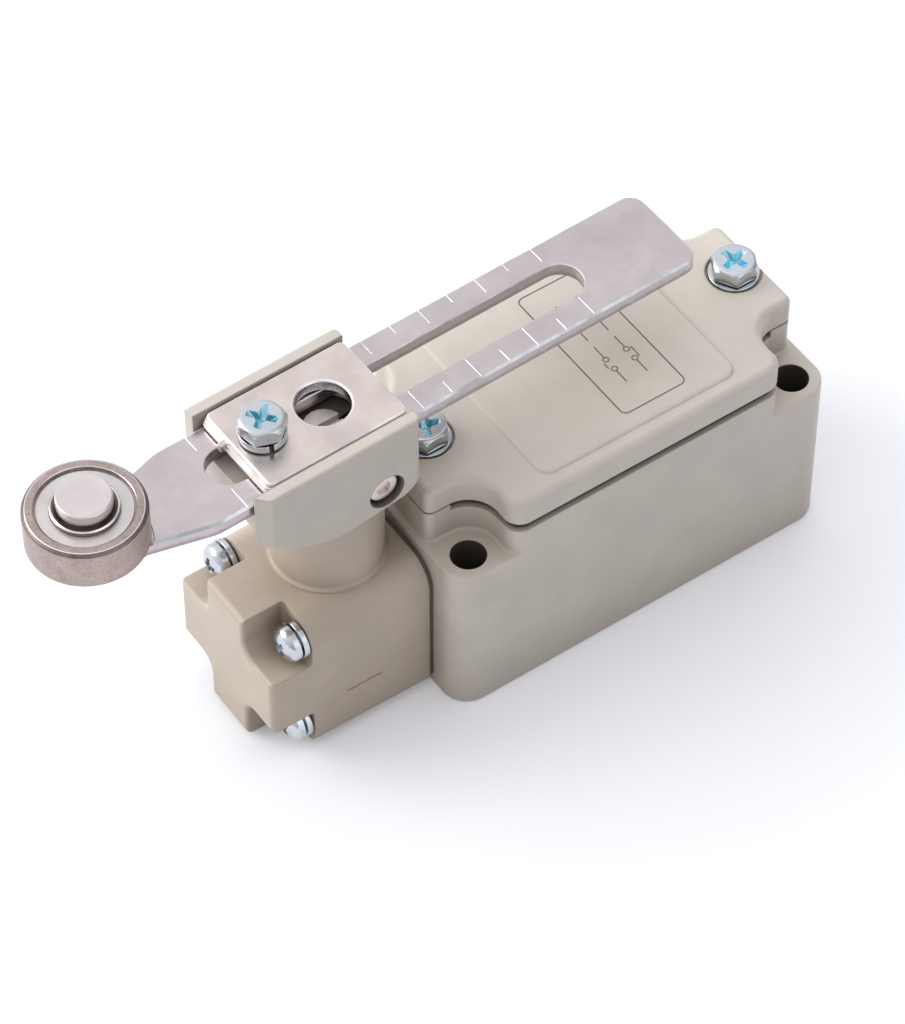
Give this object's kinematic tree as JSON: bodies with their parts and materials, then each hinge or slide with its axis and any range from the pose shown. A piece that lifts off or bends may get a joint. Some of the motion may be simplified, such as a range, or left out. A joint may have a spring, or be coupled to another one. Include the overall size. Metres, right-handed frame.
{
  "type": "rotary limit switch with adjustable roller lever",
  "caption": "Die-cast limit switch whose rotary head carries a slotted, adjustable lever with a steel roller, a clamp plate and a screwed cover.",
  "frame": {"origin": "centre of the case's flat back face, which lies on the mounting panel", "axes": "+Z out of the cover, along the lever shaft; +X from the operating head to the conduit entry, along the case; +Y across the width"},
  "size_m": [0.1262, 0.0376, 0.0672],
  "materials": {
    "paint": "satin grey-beige paint on die-cast metal",
    "hub_paint": "satin grey paint on die-cast metal",
    "seal": "black nitrile rubber",
    "zinc": "bright zinc-plated steel",
    "nickel": "satin nickel-plated steel",
    "steel": "ground steel",
    "roller_steel": "sintered steel",
    "bronze": "sintered bronze",
    "spring_steel": "spring steel wire",
    "resin": "dark brown phenolic resin",
    "button": "red moulded plastic",
    "brass": "brass strip",
    "silver": "silver alloy contact"
  },
  "bodies": {
    "housing": {"case_body": "paint", "contact_spring": "spring_steel", "cover": "paint", "cover_gasket": "seal", "cover_screw_1": "zinc", "cover_screw_2": "zinc", "cover_washer_1": "zinc", "cover_washer_2": "zinc", "ground_screw": "zinc", "head_gasket": "seal", "head_housing": "paint", "head_screw_1": "zinc", "head_screw_2": "zinc", "head_screw_3": "zinc", "head_screw_4": "zinc", "head_washer_1": "zinc", "head_washer_2": "zinc", "head_washer_3": "zinc", "head_washer_4": "zinc", "plunger_seal": "seal", "plunger_spring": "spring_steel", "shaft_bush": "bronze", "shaft_seal": "seal", "switch_base": "resin", "switch_lid": "resin", "switch_screw_1": "zinc", "switch_screw_2": "zinc", "terminal_1": "brass", "terminal_2": "brass", "terminal_3": "brass", "terminal_4": "brass", "terminal_screw_1": "zinc", "terminal_screw_2": "zinc", "terminal_screw_3": "zinc", "terminal_screw_4": "zinc"},
    "shaft_body": {"rotary_shaft": "steel", "shaft_cam": "steel", "shaft_clip": "spring_steel", "return_spring": "spring_steel"},
    "hub_body": {"lever_hub": "hub_paint", "hub_clamp_bolt": "steel", "clamp_plate": "nickel", "clamp_washer": "zinc", "clamp_screw": "zinc"},
    "arm_body": {"lever_arm": "nickel", "roller_pin": "nickel", "roller_washer": "nickel"},
    "roller_body": {"roller": "roller_steel", "roller_bush": "bronze"},
    "plunger_body": {"plunger": "resin"},
    "button_body": {"switch_button": "button", "contact_bridge": "silver"}
  },
  "joints": [
    {"name": "shaft_swing", "type": "hinge", "parent": "housing", "child": "shaft_body", "pos_m": [-0.04416, 0, 0.0424], "axis": [0, 0, 1], "range_deg": [-45, 45], "stiffness_Nm_per_rad": 0.35},
    {"name": "lever_set_angle", "type": "hinge", "parent": "shaft_body", "child": "hub_body", "pos_m": [-0.04416, 0, 0.0477], "axis": [0, 0, 1], "continuous": true},
    {"name": "arm_length", "type": "slide", "parent": "hub_body", "child": "arm_body", "axis": [-0.9998, -0.0222, 0], "range_m": [-0.001, 0.045]},
    {"name": "roller_spin", "type": "hinge", "parent": "arm_body", "child": "roller_body", "pos_m": [-0.08345, -0.00087, 0.0613], "axis": [0, 0, 1], "continuous": true},
    {"name": "plunger_travel", "type": "slide", "parent": "housing", "child": "plunger_body", "axis": [1, 0, 0], "range_m": [0, 0.0014], "stiffness_N_per_m": 400, "springref_m": -0.002, "deforming": ["plunger_spring"]},
    {"name": "button_travel", "type": "slide", "parent": "housing", "child": "button_body", "axis": [1, 0, 0], "range_m": [0, 0.0014], "stiffness_N_per_m": 200, "springref_m": -0.002, "deforming": ["contact_spring"]}
  ],
  "couplings": [
    {"joint": "button_travel", "follows": "plunger_travel", "ratio": 1}
  ]
}
